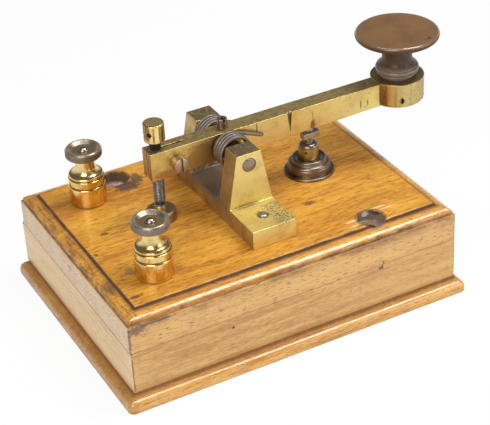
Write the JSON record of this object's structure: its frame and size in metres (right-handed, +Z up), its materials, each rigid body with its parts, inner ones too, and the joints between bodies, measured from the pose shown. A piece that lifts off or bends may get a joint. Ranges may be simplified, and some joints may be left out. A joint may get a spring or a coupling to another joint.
{
  "type": "telegraph key",
  "caption": "Straight hand telegraph key: a sprung brass lever with a round knob rocks in a yoke between two contacts, on a moulded wooden box with screw terminals.",
  "frame": {"origin": "middle of the box body's underside, on the bench", "axes": "+X along the lever towards the knob, +Y to the back, +Z up"},
  "size_m": [0.1806, 0.118, 0.097],
  "materials": {
    "board_wood": "polished honey-coloured wood with fine dark flecks",
    "rail_wood": "satin pale honey wood",
    "yoke_brass": "old tarnished brass with dark specks",
    "lever_brass": "satin brass, olive where it is tarnished",
    "bright_brass": "bright lacquered brass",
    "dark_brass": "turned brass gone dark brown",
    "dark_steel": "dark grey steel",
    "contact_silver": "bright contact metal",
    "knob_brown": "polished hard rubber gone brown"
  },
  "bodies": {
    "base": {"top_board": "board_wood", "front_rail": "rail_wood", "back_rail": "rail_wood", "left_rail": "rail_wood", "right_rail": "rail_wood", "plinth_board": "board_wood", "box_screws": "dark_steel", "yoke": "yoke_brass", "foot_studs": "dark_steel", "foot_nuts": "bright_brass", "front_spring": "dark_steel", "back_spring": "dark_steel", "front_contact_base": "dark_brass", "front_contact_post": "bright_brass", "front_contact_bar": "contact_silver", "front_contact_nut": "bright_brass", "back_contact_base": "yoke_brass", "back_contact_post": "bright_brass", "back_contact_tip": "contact_silver", "back_contact_nut": "bright_brass", "front_collar": "bright_brass", "front_stud": "dark_steel", "back_collar": "bright_brass", "back_stud": "dark_steel", "terminal_nuts": "bright_brass", "line_strap": "yoke_brass", "key_strap": "yoke_brass"},
    "lever_arm": {"lever": "lever_brass", "pivot_axle": "dark_steel", "pivot_bush": "lever_brass", "lock_screw": "dark_steel", "knob": "knob_brown", "knob_screw": "dark_steel", "set_screw": "dark_steel", "lever_contact": "contact_silver"},
    "adjuster": {"adjusting_screw": "bright_brass"},
    "clamp": {"clamp_screw": "lever_brass"},
    "front_washer": {"front_clamp_washer": "bright_brass"},
    "front_nut": {"front_thumb_nut": "bright_brass"},
    "back_washer": {"back_clamp_washer": "bright_brass"},
    "back_nut": {"back_thumb_nut": "bright_brass"}
  },
  "joints": [
    {"name": "lever_pivot", "type": "hinge", "parent": "base", "child": "lever_arm", "pos_m": [-0.0017, 0.0025, 0.0693], "axis": [0, 1, 0], "range_deg": [0, 1.85], "stiffness_Nm_per_rad": 0.4, "springref_deg": -28.65, "deforming": ["front_spring", "back_spring"]},
    {"name": "adjuster_turn", "type": "hinge", "parent": "lever_arm", "child": "adjuster", "pos_m": [-0.0323, 0.0025, 0.0693], "axis": [0, 0, 1], "range_deg": [-90, 90]},
    {"name": "clamp_turn", "type": "hinge", "parent": "lever_arm", "child": "clamp", "pos_m": [-0.0249, 0.0025, 0.0694], "axis": [0, -1, 0], "range_deg": [0, 180]},
    {"name": "front_washer_lift", "type": "slide", "parent": "base", "child": "front_washer", "axis": [0, 0, 1], "range_m": [0, 0.003]},
    {"name": "front_nut_turn", "type": "hinge", "parent": "front_washer", "child": "front_nut", "pos_m": [-0.0521, -0.03235, 0.06], "axis": [0, 0, 1], "range_deg": [0, 1080]},
    {"name": "back_washer_lift", "type": "slide", "parent": "base", "child": "back_washer", "axis": [0, 0, 1], "range_m": [0, 0.003]},
    {"name": "back_nut_turn", "type": "hinge", "parent": "back_washer", "child": "back_nut", "pos_m": [-0.0521, 0.03235, 0.06], "axis": [0, 0, 1], "range_deg": [0, 1080]}
  ],
  "couplings": [
    {"joint": "front_nut_turn", "follows": "front_washer_lift", "rad_per_m": 6283},
    {"joint": "back_nut_turn", "follows": "back_washer_lift", "rad_per_m": 6283}
  ]
}
